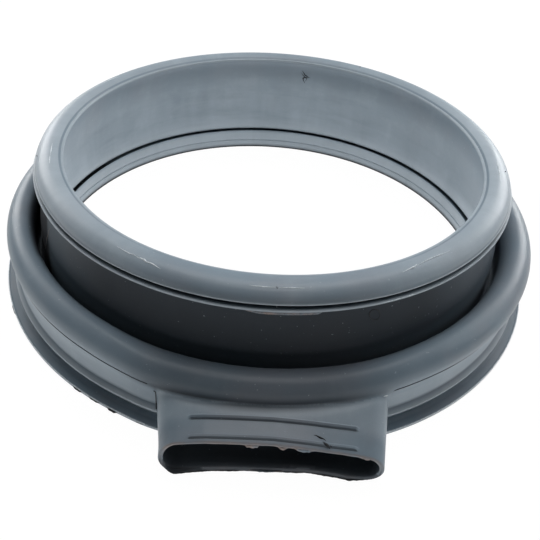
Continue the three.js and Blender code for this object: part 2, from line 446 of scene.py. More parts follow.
def grown(name, vertices, edges, tree, values, attributes=None, modifiers=()):
    """A mesh that a tree grows from points and edges, baked to plain faces"""
    mesh = bpy.data.meshes.new(name)
    mesh.from_pydata([tuple(v) for v in vertices], edges, [])
    for key, data in (attributes or {}).items():
        kind = 'FLOAT_VECTOR' if np.ndim(data) == 2 else 'FLOAT'
        layer = mesh.attributes.new(key, kind, 'POINT')
        layer.data.foreach_set('vector' if kind == 'FLOAT_VECTOR' else 'value', np.ravel(data))
    piece = bpy.data.objects.new(name, mesh)
    bpy.context.scene.collection.objects.link(piece)
    modifier = piece.modifiers.new("Grow", 'NODES')
    modifier.node_group = tree.tree
    for key, value in values.items():
        modifier[tree.identifiers[key]] = value
    for kind, settings in modifiers:
        extra = piece.modifiers.new(kind.title(), kind)
        for key, value in settings.items():
            setattr(extra, key, value)
    baked(piece)
    return piece


def baked(piece):
    """Turns the evaluated object into its own plain mesh and drops its modifiers"""
    graph = bpy.context.evaluated_depsgraph_get()
    mesh = bpy.data.meshes.new_from_object(piece.evaluated_get(graph), depsgraph=graph)
    piece.modifiers.clear()
    piece.data = mesh
    mesh.name = piece.name
    return piece


def turned_tree():
    """Turns a section about the ring's axis, with shorter steps on the duct's side"""
    tree = Growth("Turned section")
    steps = tree.input("Steps", 'Int')
    rail = tree.input("Rail Radius", value=0.18)
    crowding = tree.input("Front Crowding")
    centre = tree.input("Centre", 'Vector')
    even = tree.add('GeometryNodeInputIndex') * (2 * math.pi) / steps
    angle = even - crowding * tree.maths('COSINE', even)
    place = tree.add('ShaderNodeCombineXYZ', None, {
        'X': rail * tree.maths('COSINE', angle), 'Y': rail * tree.maths('SINE', angle)})
    circle = tree.add('GeometryNodeCurvePrimitiveCircle', {'mode': 'RADIUS'}, {'Resolution': steps})
    ring = tree.add('GeometryNodeSetPosition', None, {'Geometry': circle, 'Position': place})
    upright = tree.add('GeometryNodeSetCurveNormal', {'mode': 'Z_UP'}, {'Curve': ring})
    at = tree.add('ShaderNodeSeparateXYZ', None, {0: tree.add('GeometryNodeInputPosition')})
    flat = tree.add('ShaderNodeCombineXYZ', None, {'X': at - rail, 'Y': at.other('Z') * -1.0})
    section = tree.add('GeometryNodeSetPosition', None, {'Geometry': tree.given, 'Position': flat})
    profile = tree.add('GeometryNodeMeshToCurve', None, {'Mesh': section})
    sweep = tree.add('GeometryNodeCurveToMesh', None, {'Curve': upright, 'Profile Curve': profile})
    moved = tree.add('GeometryNodeTransform', None, {'Geometry': sweep, 'Translation': centre})
    return tree.finish(tree.add('GeometryNodeSetShadeSmooth', None, {'Geometry': moved}))


def turned(name, points, tree, steps, material):
    """One closed section in radius and height, turned to a solid"""
    vertices = [(r, 0.0, z) for r, z in points]
    edges = [(i, (i + 1) % len(points)) for i in range(len(points))]
    return outward(grown(name, vertices, edges, tree, {
        "Steps": steps,
        "Front Crowding": FRONT_CROWDING,
        "Centre": (0.0, RING_Y, 0.0),
        "Material": material,
    }))


def outward(piece):
    """Merges doubles and turns all faces outwards"""
    work = bmesh.new()
    work.from_mesh(piece.data)
    bmesh.ops.remove_doubles(work, verts=work.verts, dist=0.001 * MM)
    bmesh.ops.recalc_face_normals(work, faces=work.faces)
    if work.calc_volume(signed=True) < 0:
        bmesh.ops.reverse_faces(work, faces=work.faces)
    work.to_mesh(piece.data)
    work.free()
    return piece


def combined(piece, other, operation):
    """Joins or cuts one solid with another, which is used up"""
    modifier = piece.modifiers.new(operation.title(), 'BOOLEAN')
    modifier.operation = operation
    modifier.solver = 'MANIFOLD'
    modifier.object = other
    baked(piece)
    bpy.data.objects.remove(other)
    return piece


# Air duct

RIB_SETBACKS = (2.1 * MM, 12.6 * MM)


def ease(value, low, high):
    """From 0 at low to 1 at high, with soft ends"""
    t = np.clip((value - low) / (high - low), 0, 1)
    return t * t * (3 - 2 * t)


def fade(value, low, high):
    return 1 - ease(value, low, high)


def between(value, low, full, fading, gone):
    """1 between full and fading, and 0 below low and above gone"""
    return ease(value, low, full) * fade(value, fading, gone)


def duct_outline(s):
    """Closed outline across the duct: the flat underside, an end, the flat top and the other end"""
    end_radius = s.duct_height / 2
    flat = (s.duct_width - s.duct_height) / 2
    points = [(-flat + 2 * flat * i / FLAT_STEPS, -end_radius) for i in range(FLAT_STEPS)]
    for i in range(END_STEPS):
        angle = -math.pi / 2 + math.pi * i / END_STEPS
        points.append((flat + end_radius * math.cos(angle), end_radius * math.sin(angle)))
    points += [(-x, -h) for x, h in points]
    return np.array(points)


# Sag of the rubber duct: across from -1 to 1, then how far top and bottom lie off the true outline in mm,
# at the mouth and at the upper rib
SAG_ACROSS = (-1.0, -0.85, -0.6, -0.3, 0.0, 0.3, 0.5, 0.7, 0.85, 1.0)
SAG_TOP = (
    (-1.5, -0.2, 1.5, 1.9, 2.4, 1.3, 0.3, 0.1, -1.3, -1.8),
    (-1.6, -1.3, -0.1, 0.3, 0.6, 0.0, -0.6, -0.9, -1.2, -1.3))
SAG_BOTTOM = (
    (-3.4, -4.4, -2.4, -0.8, -0.3, 1.9, 1.2, -0.6, 0.9, 1.8),
    (-1.6, -2.0, -1.2, -0.5, -0.2, 0.6, 0.4, -0.4, 0.2, 0.4))
SAG_SETBACKS = (0.0, 12.6 * MM, 30 * MM)
SQUASH = 1.2


def duct_sag(across, setback, high):
    """How far the soft rubber lies off the true duct; high is 1 at its top and 0 at its bottom"""
    rows = []
    for table, share in ((SAG_TOP, high), (SAG_BOTTOM, 1 - high)):
        mouth, rib = (np.interp(across, SAG_ACROSS, row) * MM for row in table)
        reached = mouth + (rib - mouth) * ease(setback, *SAG_SETBACKS[:2])
        rows.append(share * reached * fade(setback, *SAG_SETBACKS[1:]))
    return rows[0] + rows[1]


def duct_place(s, x, setback, h):
    """From the duct's own measures to the frame: along its slope, arch, flare and sag"""
    across = x / (s.duct_width / 2)
    side = s.duct_offset + x + across * s.duct_flare * setback / (DUCT_REACH - FLANGE_RADIUS)
    high = np.clip(h / s.duct_height + 0.5, 0, 1)
    rise = s.duct_slope * setback + s.duct_arch * (1 - across ** 2) + s.duct_height / 2
    z = h + rise + duct_sag(across, setback, high)
    forward = np.maximum(-z, 0) * SQUASH * fade(setback, 0, 14 * MM)
    return np.stack([side, RING_Y - DUCT_REACH + setback - forward, np.maximum(z, 0.05 * MM)], -1)


def duct_rib(s, x, setback):
    """Height of the two ribs that hold the hose: a steep front, a flat top and a short slope behind"""
    across = np.clip((s.duct_rib_length / 2 - abs(x)) / (0.9 * MM), 0, 1)
    width = s.duct_rib_width
    along = sum(
        between(setback - front, 0.0, 0.25 * MM, width - 0.5 * MM, width) for front in RIB_SETBACKS)
    return s.duct_rib_height * across * along


def duct_solid(name, s, rows, margins, ribs):
    """A closed loft: rows of setback from the mouth, each with its margins at side, top and bottom"""
    outline = duct_outline(s)
    count = len(outline)
    x, h = outline[:, 0], outline[:, 1]
    flat = (s.duct_width - s.duct_height) / 2
    normal = np.stack([x - np.clip(x, -flat, flat), h], -1) / (s.duct_height / 2)
    vertices = []
    for setback, (side, top, bottom) in zip(rows, margins):
        grow = side * normal[:, 0] ** 2 + np.where(h > 0, top, bottom) * normal[:, 1] ** 2
        if ribs:
            grow = grow + duct_rib(s, x, setback) * (h > 0)
        vertices.append(duct_place(s, x + normal[:, 0] * grow, setback, h + normal[:, 1] * grow))
    faces = []
    for row in range(len(rows) - 1):
        for i in range(count):
            a = row * count + i
            b = row * count + (i + 1) % count
            faces.append((a, b, b + count, a + count))
    for row in (0, len(rows) - 1):
        for i in range(-END_STEPS // 2, FLAT_STEPS + END_STEPS // 2):
            across = 2 * FLAT_STEPS + END_STEPS - i
            face = [row * count + k % count for k in (i, i + 1, across - 1, across)]
            faces.append(tuple(dict.fromkeys(face)))
    mesh = bpy.data.meshes.new(name)
    mesh.from_pydata([tuple(v) for v in np.concatenate(vertices)], [], faces)
    piece = bpy.data.objects.new(name, mesh)
    bpy.context.scene.collection.objects.link(piece)
    return outward(piece)


def duct_rows(s):
    """Setbacks of the duct's rows, closest at the mouth and at the ribs"""
    rib = s.duct_rib_width / MM
    steps = (0.0, 0.1, 0.2, 0.3, 0.8, 1.4, rib - 0.5, rib - 0.25, rib)
    rows = [0.0, 0.12, 0.35, 0.8, 1.4, 1.9] + [front / MM + step for front in RIB_SETBACKS for step in steps]
    rows += [*np.arange(5.0, 12.3, 0.8), 12.45, *np.arange(15.6, 46, 1.5), 62.0]
    return np.array(sorted(rows)) * MM


# Rounding of the mouth's outer and inner edge: setbacks in mm and how far the surface moves there
OUTER_EDGE = ((0.0, 0.12, 0.35, 0.8), (-0.6, -0.25, -0.07, 0.0))
INNER_EDGE = ((0.0, 0.15, 0.4, 0.9), (0.45, 0.2, 0.06, 0.0))


def duct_body(s):
    rows = duct_rows(s)
    edge = np.interp(rows, *np.array(OUTER_EDGE) * MM)
    return duct_solid("duct_body", s, rows, np.stack([edge] * 3, -1), True)


def duct_bore(s):
    rows = np.array([-8.0, 0.0, 0.15, 0.4, 0.9, *np.arange(3.0, 62.0, 3.0)]) * MM
    edge = np.interp(rows, *np.array(INNER_EDGE) * MM)
    deeper = ease(rows, 2 * MM, 12 * MM)
    walls = (s.mouth_side, s.mouth_top, s.mouth_bottom)
    margins = np.stack([edge - wall + (wall - s.duct_wall) * deeper for wall in walls], -1)
    return duct_solid("duct_bore", s, rows, margins, False)


def block_section(wall_line):
    """Closed section from near the axis out to a wall line, from below the bench to above the roll"""
    axis, low, high = 0.1, -2 * MM, 0.09
    return np.array([
        (axis, low), (wall_line[0][0], low), *wall_line, (wall_line[-1][0], high), (axis, high)])


def points_of(mesh):
    data = np.empty(len(mesh.vertices) * 3)
    mesh.vertices.foreach_get('co', data)
    return data.reshape(-1, 3)


def set_points(mesh, points):
    mesh.vertices.foreach_set('co', np.ravel(points))
    mesh.update()


# Strokes and torn flash

def stroke_tree():
    """Turns lines into thin beads that taper with the attribute thick"""
    tree = Growth("Stroke")
    radius, wobble, step, seed = (tree.input(name) for name in ("Radius", "Wobble", "Step", "Seed"))
    line = tree.add('GeometryNodeMeshToCurve', None, {'Mesh': tree.given})
    even = tree.add('GeometryNodeResampleCurve', {'mode': 'LENGTH'}, {'Curve': line, 'Length': step})
    noise = tree.add('ShaderNodeTexNoise', {'noise_dimensions': '4D'}, {
        'Vector': tree.add('GeometryNodeInputPosition'), 'W': seed, 'Scale': 900.0, 'Detail': 1.0}, 'Color')
    shift = tree.add('ShaderNodeVectorMath', {'operation': 'SUBTRACT'}, {0: noise, 1: (0.5, 0.5, 0.5)})
    offset = tree.add('ShaderNodeVectorMath', {'operation': 'SCALE'}, {0: shift, 'Scale': wobble})
    moved = tree.add('GeometryNodeSetPosition', None, {'Geometry': even, 'Offset': offset})
    thick = tree.add('GeometryNodeInputNamedAttribute', {'data_type': 'FLOAT'}, {'Name': "thick"})
    section = tree.add('GeometryNodeCurvePrimitiveCircle', {'mode': 'RADIUS'}, {
        'Resolution': 6, 'Radius': 1.0})
    return tree.finish(tree.add('GeometryNodeCurveToMesh', None, {
        'Curve': moved, 'Profile Curve': section, 'Scale': thick * radius, 'Fill Caps': True}))


def flash_tree():
    """Draws a thin sheet out of a line along the attribute out, with a ragged far edge"""
    tree = Growth("Torn flash")
    ragged, seed = (tree.input(name) for name in ("Ragged", "Seed"))
    noise = tree.add('ShaderNodeTexNoise', {'noise_dimensions': '4D'}, {
        'Vector': tree.add('GeometryNodeInputPosition'), 'W': seed, 'Scale': 420.0, 'Detail': 2.0})
    way = tree.add('GeometryNodeInputNamedAttribute', {'data_type': 'FLOAT_VECTOR'}, {'Name': "out"})
    return tree.finish(tree.add('GeometryNodeExtrudeMesh', {'mode': 'EDGES'}, {
        'Mesh': tree.given, 'Offset': way, 'Offset Scale': (noise - 0.5) * ragged + 1.0}))


def drawn(name, lines, tree, values):
    """Lines of places, each thickest in its middle, as one piece"""
    vertices, edges, thick = [], [], []
    for places, share, taper in lines:
        start = len(vertices)
        vertices += [tuple(p) for p in places]
        edges += [(start + i, start + i + 1) for i in range(len(places) - 1)]
        thick += [share * (1 - taper * abs(2 * i / (len(places) - 1) - 1)) for i in range(len(places))]
    return outward(grown(name, vertices, edges, tree, values, {"thick": thick}))


def torn_sheets(name, lines, tree, values, thickness):
    """Lines of places with the way and the width that the rubber sticks out, as thin closed sheets"""
    vertices, edges, out = [], [], []
    for places, ways in lines:
        start = len(vertices)
        vertices += [tuple(p) for p in places]
        out += [tuple(way) for way in ways]
        edges += [(start + i, start + i + 1) for i in range(len(places) - 1)]
    return outward(grown(
        name, vertices, edges, tree, values, {"out": np.array(out)},
        [('SOLIDIFY', {"thickness": thickness, "offset": 0.0})]))


# Soft corner where the duct leaves the ring

def wall_distance(outline, points):
    """Signed distance from points to a closed outline in radius and height"""
    flat = np.stack([np.hypot(points[:, 0], points[:, 1] - RING_Y), points[:, 2]], -1)
    a = outline
    b = np.roll(outline, -1, axis=0)
    nearest = np.full(len(flat), 1.0)
    crossings = np.zeros(len(flat), bool)
    for p, q in zip(a, b):
        along = q - p
        t = np.clip(((flat - p) @ along) / (along @ along), 0, 1)
        nearest = np.minimum(nearest, np.linalg.norm(flat - (p + t[:, None] * along), axis=1))
        straddles = (p[1] > flat[:, 1]) != (q[1] > flat[:, 1])
        if p[1] != q[1]:
            crossing = p[0] + (flat[:, 1] - p[1]) * (q[0] - p[0]) / (q[1] - p[1])
            crossings ^= straddles & (flat[:, 0] < crossing)
    return np.where(crossings, -nearest, nearest)


def duct_distance(s, points):
    """Signed distance from points to the outside of the duct"""
    setback = points[:, 1] - (RING_Y - DUCT_REACH)
    widening = 1 + s.duct_flare / (s.duct_width / 2) * setback / (DUCT_REACH - FLANGE_RADIUS)
    x = (points[:, 0] - s.duct_offset) / widening
    across = x / (s.duct_width / 2)
    h = points[:, 2] - s.duct_slope * setback - s.duct_arch * (1 - across ** 2) - s.duct_height / 2
    h = h - duct_sag(across, setback, np.clip(h / s.duct_height + 0.5, 0, 1))
    flat = (s.duct_width - s.duct_height) / 2
    beyond = np.maximum(abs(x) - flat, 0)
    return (np.hypot(beyond, h) - s.duct_height / 2) * math.cos(math.atan(s.duct_slope))


RELAXED_ROUNDS, LAID_ROUNDS = 10, 14
ROOT_FRONT = 150 * MM
ROOT_HALF_WIDTH = 76 * MM
ROLL_CREST = 181 * MM
FOOT_BLEND = 1.2 * MM


def soften_root(s, piece, outline):
    """Relaxes the corner and lays it on a smooth union of ring and duct"""
    points = points_of(piece.data)

    def blended(p):
        a = wall_distance(outline, p)
        b = duct_distance(s, p)
        beside = ease(abs(p[:, 0] - s.duct_offset), 22 * MM, 46 * MM)
        soft = s.root_crease + (s.root_blend - s.root_crease) * beside
        k = np.where(p[:, 2] > s.crease_height, soft, FOOT_BLEND)
        h = np.maximum(k - abs(a - b), 0) / k
        return np.minimum(a, b) - h * h * k / 4

    near = (points[:, 1] < RING_Y - ROOT_FRONT) & (abs(points[:, 0] - s.duct_offset) < ROOT_HALF_WIDTH)
    near &= np.hypot(points[:, 0], points[:, 1] - RING_Y) > ROLL_CREST
    chosen = np.flatnonzero(near)
    a = wall_distance(outline, points[chosen])
    b = duct_distance(s, points[chosen])
    reach = s.root_blend * 1.15
    chosen = chosen[(abs(np.minimum(a, b)) < 0.4 * MM) & (abs(a) < reach) & (abs(b) < reach)]
    edges = np.empty(len(piece.data.edges) * 2, int)
    piece.data.edges.foreach_get('vertices', edges)
    edges = edges.reshape(-1, 2)
    inside = np.zeros(len(points), bool)
    inside[chosen] = True
    edges = edges[inside[edges[:, 0]] | inside[edges[:, 1]]]
    for step in range(LAID_ROUNDS):
        if step < RELAXED_ROUNDS:
            total = np.zeros_like(points)
            count = np.zeros(len(points))
            for one, other in ((0, 1), (1, 0)):
                np.add.at(total, edges[:, one], points[edges[:, other]])
                np.add.at(count, edges[:, one], 1)
            mean = total[chosen] / count[chosen, None]
            points[chosen] += 0.5 * (mean - points[chosen])
        here = points[chosen]
        value = blended(here)
        nudge = 0.02 * MM
        slope = np.stack([(blended(here + nudge * axis) - value) / nudge for axis in np.eye(3)], -1)
        size = np.maximum((slope ** 2).sum(1), 0.2)
        points[chosen] = here - slope * (value / size)[:, None]
    set_points(piece.data, points)


# Soft shape of the real moulding, which has sagged and been squeezed a little

def relax_shape(s, points):
    """Small shifts of the lip, the roll and the duct from the true ring"""
    p = points.copy()
    y = p[:, 1] - RING_Y
    radius = np.hypot(p[:, 0], y)
    angle = np.degrees(np.arctan2(y, p[:, 0]))
    front = between(angle, -125, -108, -72, -55)
    lip = ease(p[:, 2], 60 * MM, 88 * MM)
    roll = ease(p[:, 2], 20 * MM, 44 * MM) * between(radius, 170 * MM, 178 * MM, 193.5 * MM, 200 * MM)
    left = s.duct_offset - points[:, 0]
    duct_side = between(left, 40 * MM, 62 * MM, 72 * MM, 95 * MM) * ease(radius, 180 * MM, 186 * MM)
    duct_side = duct_side * ease(y + DUCT_REACH, 4 * MM, 26 * MM) * (y < -ROOT_FRONT)
    p[:, 0] += 1.0 * MM * lip + 1.4 * MM * roll * fade(-y, 150 * MM, 180 * MM) - 2.0 * MM * duct_side
    p[:, 2] -= 1.6 * MM * roll * front
    p[:, 1] -= 1.2 * MM * roll * front
    return p


def mark_points(s, piece):
    """Stores on the mesh where shade is painted darker, where light is painted paler, where edges are paler
    from wear and painted highlights, where the mouth is torn, and where dark lines and painted shade lines
    lie
    """
    points = points_of(piece.data)
    normals = np.empty(len(points) * 3)
    piece.data.vertex_normals.foreach_get('vector', normals)
    normals = normals.reshape(-1, 3)
    x, y, z = points[:, 0], points[:, 1] - RING_Y, points[:, 2]
    radius = np.hypot(x, y)
    side = abs(x) / radius
    inwards = -(normals[:, 0] * x + normals[:, 1] * y) / radius
    front = between(np.degrees(np.arctan2(y, x)), -120, -102, -78, -60)
    setback = points[:, 1] - (RING_Y - DUCT_REACH)
    off_duct = duct_distance(s, points)
    rounded = (z - s.roll_height) / s.roll_radius
    edge, groove_foot, neck_top = heights(s)
    part_r, part_z = parting(s)

    def spot(r, h, spread):
        return np.exp(-((radius - r) ** 2 + (z - h) ** 2) / spread ** 2)

    # Painted shade: darker colour on the neck, the groove, the duct's inside, the front of the roll and the
    # feet of the ribs, on the mouth's lower front and on the lip's lower face
    neck = ease(radius, s.neck_top_radius - 1.6 * MM, s.neck_top_radius - 0.6 * MM)
    neck *= fade(radius, s.roll_reach - s.roll_radius * 2.0, s.roll_reach - s.roll_radius * 1.35)
    neck *= (z < neck_top + 0.1 * MM) & (z > s.fold_height - 8 * MM)
    neck *= (inwards < 0.2) | (radius > s.neck_foot_radius + 0.5 * MM)
    turning = 0.07 * np.clip((neck_top - z) / (30 * MM), 0, 1)
    # Painted shadow cast on the neck's left side; lower down its edge lies further from the side
    shade = neck * ease(-x / radius, 0.915 - turning, 0.945 - turning)
    neck *= (0.42 + 0.48 * ease(z, 42 * MM, 58 * MM)) * (1 - 0.3 * ease(side, 0.55, 0.85))
    groove = (z > groove_foot - 0.2 * MM) & (z < edge + 0.1 * MM) & (radius > s.neck_top_radius - 2 * MM)
    bore = (off_duct < -1.0 * MM) & (setback < 30 * MM)
    bore = bore * (0.75 * ease(setback, 0.2 * MM, 1.2 * MM) + 0.1 * ease(setback, 1.2 * MM, 5 * MM))
    roll = ease(radius, 172 * MM, 176 * MM) * (z > s.crease_height) * ease(off_duct, 0.3 * MM, 2.0 * MM)
    roll = roll * (0.52 + 0.4 * fade(rounded, -0.5, 0.4)) * ease(rounded, -1.6, -0.9)
    ribs = np.min([abs(setback - start - 0.15 * MM) for start in RIB_SETBACKS], axis=0) < 0.25 * MM
    ribs &= (abs(x - s.duct_offset) < s.duct_rib_length / 2) & (z > 12 * MM) & (off_duct > -0.5 * MM)
    lip_face = (z > edge) * (radius > s.lip_crest_radius) * fade(z, edge + 2 * MM, edge + 6 * MM)
    deep = np.max([
        neck, shade, bore, front * roll, 0.6 * ribs,
        groove * fade(radius, s.lip_edge_radius - 2.5 * MM, s.lip_edge_radius),
        0.75 * (setback < 1.5 * MM) * (z < 8 * MM),
        lip_face * (0.1 + 0.25 * front)], axis=0)

    # Painted light: paler colour on the inner wall, darker towards its top, and on the lip, the outer wall's
    # sides, the band's seat and the top of the duct
    inner = ease(inwards, 0.1, 0.5) * (radius < s.neck_foot_radius - 1 * MM)
    inner *= 0.36 + 0.64 * fade(z, 36 * MM, CREST - 6 * MM)
    inner *= 1 - (0.25 + 0.2 * (x > 0)) * side ** 2 * ease(z, 24 * MM, 34 * MM)
    lip = (0.24 + 0.6 * side ** 2 * (1 - front)) * ease(z, edge + 0.5 * MM, edge + 3.5 * MM)
    lip = np.maximum(lip, 0.5 * (y > 0) * (z > edge + 1 * MM)) * (inwards < 0.3)
    wall = (radius > s.crease_radius - 0.5 * MM) & (z > s.crease_height) & (setback > 16 * MM)
    seat = (radius > s.band_seat_radius - 0.5 * MM) & (radius < s.band_seat_radius + 2.5 * MM)
    top = 0.42 * ease(setback, 8 * MM, 17 * MM) * (setback < 34 * MM) * (z > 4 * MM)
    pale = np.max([
        inner, lip, top * (off_duct < 0.6 * MM),
        0.7 * (1 - front) * wall * fade(rounded, -0.9, -0.1),
        1.0 * seat * (z < s.band_rib_height - 0.4 * MM) * (setback > 10 * MM)], axis=0)

    # Wear and painted light: paler edges, partly wear where hands and bands touch and partly painted
    # highlights, and painted light on the foot's inner face, the inner wall's lower end and the lip's sides
    low_wall = (inwards > 0.3) * (z > s.foot_height + 2 * MM) * (radius < 175 * MM)
    worn = np.max([
        spot(s.lip_edge_radius + 0.5 * MM, edge + 0.4 * MM, 0.7 * MM),
        spot(s.panel_rib_radius, groove_foot - 0.4 * MM, 0.8 * MM),
        spot(s.band_rib_radius, s.band_rib_height - 0.4 * MM, 1.3 * MM),
        spot(FLANGE_RADIUS, s.flange_thickness - 0.5 * MM, 0.9 * MM),
        spot(s.opening_radius, CREST - 1.9 * MM, 0.9 * MM),
        spot(s.foot_inner_radius, 1.7 * MM, 0.7 * MM),
        0.95 * (radius < s.foot_inner_radius + 1 * MM) * (z < s.foot_height),
        0.8 * low_wall * fade(z, 20 * MM, 33 * MM),
        0.5 * side ** 2 * (1 - front) * (lip > 0.3)], axis=0)
    # Dark lines: the parting line's dark joint, with painted shade along the neck's painted shadow and round
    # the foot's bottom inner edge
    line = np.max([
        spot(part_r - 0.9 * MM, part_z - 0.5 * MM, 0.5 * MM),
        0.55 * shade,
        0.9 * (radius < s.foot_inner_radius + 0.5 * MM) * (z < 0.5 * MM)], axis=0)
    mouth = fade(setback, 0.3 * MM, 1.1 * MM) * (0.15 + 0.85 * ease(z, 8 * MM, 15 * MM))
    for name, data in (("deep", deep), ("pale", pale), ("worn", worn), ("line", line), ("mouth", mouth)):
        layer = piece.data.attributes.new(name, 'FLOAT', 'POINT')
        layer.data.foreach_set('value', data)


# Materials

class Shader(Nodes):
    """A material and its nodes"""

    def __init__(self, name):
        self.material = bpy.data.materials.new(name)
        self.material.use_nodes = True
        super().__init__(self.material.node_tree)
        self.tree.nodes.clear()

    def place(self):
        return self.add('ShaderNodeTexCoord', output='Object')

    def ramp(self, value, *stops):
        return self.add('ShaderNodeValToRGB', {'stops': stops}, {0: value})

    def noise(self, vector, scale, detail=2.0, roughness=0.5):
        return self.add('ShaderNodeTexNoise', {'noise_dimensions': '3D'}, {
            'Vector': vector, 'Scale': scale, 'Detail': detail, 'Roughness': roughness})

    def mix(self, amount, a, b):
        return self.add(
            'ShaderNodeMix', {'data_type': 'RGBA'}, {'Factor': amount, 6: a, 7: b}, output=2)

    def vector(self, x, y, z):
        return self.add('ShaderNodeCombineXYZ', None, {0: x, 1: y, 2: z})

    def attribute(self, name):
        return self.add('ShaderNodeAttribute', {'attribute_name': name}, output='Fac')

    def bump(self, strength, distance, height):
        return self.add('ShaderNodeBump', None, {
            'Strength': strength, 'Distance': distance, 'Height': height})

    def principled(self, base, roughness, **sockets):
        values = {key.replace('_', ' '): value for key, value in sockets.items()}
        return self.add('ShaderNodeBsdfPrincipled', None, {
            'Base Color': base, 'Roughness': roughness, **values})

    def finish(self, surface):
        self.add('ShaderNodeOutputMaterial', None, {'Surface': surface})
        return self.material


def rgba(value):
    return (*value, 1.0)


def rubber_material(f):
    """Satin rubber: soft patches, streaks along the neck, blooming patches and fine grain, with painted light
    and painted shade from the mesh's attributes and edges paler from wear and painted highlights
    """
    shader = Shader("rubber_grey")
    local = shader.add('ShaderNodeMapping', None, {
        'Vector': shader.place(), 'Location': (0.0, -RING_Y, 0.0)})
    x = shader.add('ShaderNodeSeparateXYZ', None, {0: local})
    y, z = x.other('Y'), x.other('Z')
    radius = shader.maths('SQRT', x * x + y * y)
    around_x = x / radius * 0.18
    around_y = y / radius * 0.18
    tall = shader.vector(around_x, around_y, z * 0.22)
    flat = shader.vector(around_x * 0.15, around_y * 0.15, z + radius)

    patches = shader.noise(local, 17.0, 3.0, 0.55)
    clouds = shader.noise(local, 46.0, 3.0, 0.6)
    streaks = shader.noise(tall, 95.0, 3.0, 0.6)
    rings = shader.noise(flat, 420.0, 2.0, 0.5)
    speckle = shader.noise(local, 1300.0, 2.0, 0.6)
    dust = shader.noise(local, 520.0, 1.0, 0.5)

    warm = shader.ramp(patches, (0.46, 0.0), (0.66, 1.0)) * 0.35
    bloom = shader.ramp(clouds, (0.5, 0.0), (0.78, 1.0)) * shader.ramp(streaks, (0.35, 0.2), (0.7, 1.0)) * 0.3
    pale = shader.attribute("pale")
    base = shader.mix(warm, rgba(f.base), rgba(f.warm))
    # Painted light: paler colour where the attribute says more light falls
    base = shader.mix(pale * (0.8 + clouds * 0.4), base, rgba(f.pale))
    drift = shader.ramp(shader.noise(tall, 26.0, 3.0, 0.6), (0.4, 0.0), (0.66, 0.36))
    veil = shader.ramp(shader.noise(flat, 90.0, 3.0, 0.6), (0.45, 0.0), (0.7, 0.3))
    base = shader.mix((drift + veil) * pale, base, rgba(f.base))
    base = shader.mix(bloom * (0.4 + pale), base, rgba(f.bloom))
    # Painted shade: darker colour in the folds, on the neck and inside the duct
    base = shader.mix(shader.attribute("deep"), base, rgba(f.shadowed))
    # Edges paler from wear and painted highlights, with painted light on the foot and the inner wall's lower
    # end
    base = shader.mix(shader.attribute("worn") * (0.5 + streaks * 0.5), base, rgba(f.bloom))
    # Dark joint line, with painted shade along the neck's shadow and at the foot's bottom edge
    base = shader.mix(shader.attribute("line"), base, rgba(f.nick))
    ragged = shader.ramp(clouds, (0.4, 0.15), (0.6, 0.7))
    base = shader.mix(shader.attribute("mouth") * ragged, base, rgba(f.torn))
    tone = 0.9 + speckle * 0.12 + streaks * 0.05 + rings * 0.03
    base = shader.add('ShaderNodeVectorMath', {'operation': 'SCALE'}, {0: base, 'Scale': tone})
    fleck = shader.ramp(dust, (0.74, 0.0), (0.8, 0.35))
    base = shader.mix(fleck, base, rgba(f.bloom))

    rough = f.roughness + (clouds - 0.5) * 0.14 + (streaks - 0.5) * 0.1
    grain = shader.noise(local, 900.0, 3.0, 0.65)
    ripple = shader.noise(tall, 60.0, 2.0, 0.5)
    height = grain * 0.05 + rings * 0.05 + ripple * 0.6
    bump = shader.bump(0.35, 0.0006, height)
    satin = shader.principled(
        base, rough, Specular_IOR_Level=0.4, Coat_Weight=f.coat, Coat_Roughness=0.18, Normal=bump)
    matt = shader.principled(base, 0.75, Specular_IOR_Level=0.12, Normal=bump)
    return shader.finish(shader.add('ShaderNodeMixShader', None, {
        0: shader.attribute("deep"), 1: satin, 2: matt}))


def torn_material(f):
    """Thin torn flash: paler and drier than the skin of the moulding"""
    shader = Shader("rubber_torn")
    place = shader.place()
    fine = shader.noise(place, 700.0, 3.0, 0.6)
    patches = shader.noise(place, 120.0, 2.0, 0.5)
    base = shader.mix(shader.ramp(patches, (0.4, 0.0), (0.62, 1.0)), rgba(f.base), rgba(f.torn))
    base = shader.mix(shader.ramp(fine, (0.3, 0.5), (0.55, 0.0)), base, rgba(f.shadowed))
    return shader.finish(shader.principled(
        base, 0.7 + fine * 0.15, Normal=shader.bump(0.5, 0.0004, fine)))


def mark_material(name, scale, stops, colours, roughness, coat):
    """A small mark: one fine noise mixes its two colours and varies its roughness"""
    shader = Shader(name)
    fine = shader.noise(shader.place(), scale, 2.0, 0.6)
    base = shader.mix(shader.ramp(fine, *stops), *(rgba(colour) for colour in colours))
    return shader.finish(shader.principled(base, roughness + fine * 0.2, Coat_Weight=coat))


def glint_material(f):
    """Shiny whitish strokes: painted glints and edge highlights, whitish specks and the mould line in the
    groove
    """
    return mark_material("rubber_scuffed", 800.0, ((0.35, 0.0), (0.6, 1.0)), (f.bloom, f.glint), 0.35, 0.3)


def dark_material(f):
    """Dark rubber inside nicks and on stray specks"""
    return mark_material("rubber_nick", 900.0, ((0.45, 0.0), (0.75, 0.5)), (f.nick, f.shadowed), 0.45, 0.0)


# Camera and the photograph's pixels

def view_axes(v):
    """Right, up and back of the camera, and the place that it looks at"""
    back = Vector((0.0, -math.cos(v.elevation), math.sin(v.elevation)))
    up = Vector((0.0, math.sin(v.elevation), math.cos(v.elevation)))
    right = Vector((1.0, 0.0, 0.0))
    turned_right = right * math.cos(v.turn) + up * math.sin(v.turn)
    turned_up = up * math.cos(v.turn) - right * math.sin(v.turn)
    return turned_right, turned_up, back, Vector((0.0, RING_Y, 0.0))


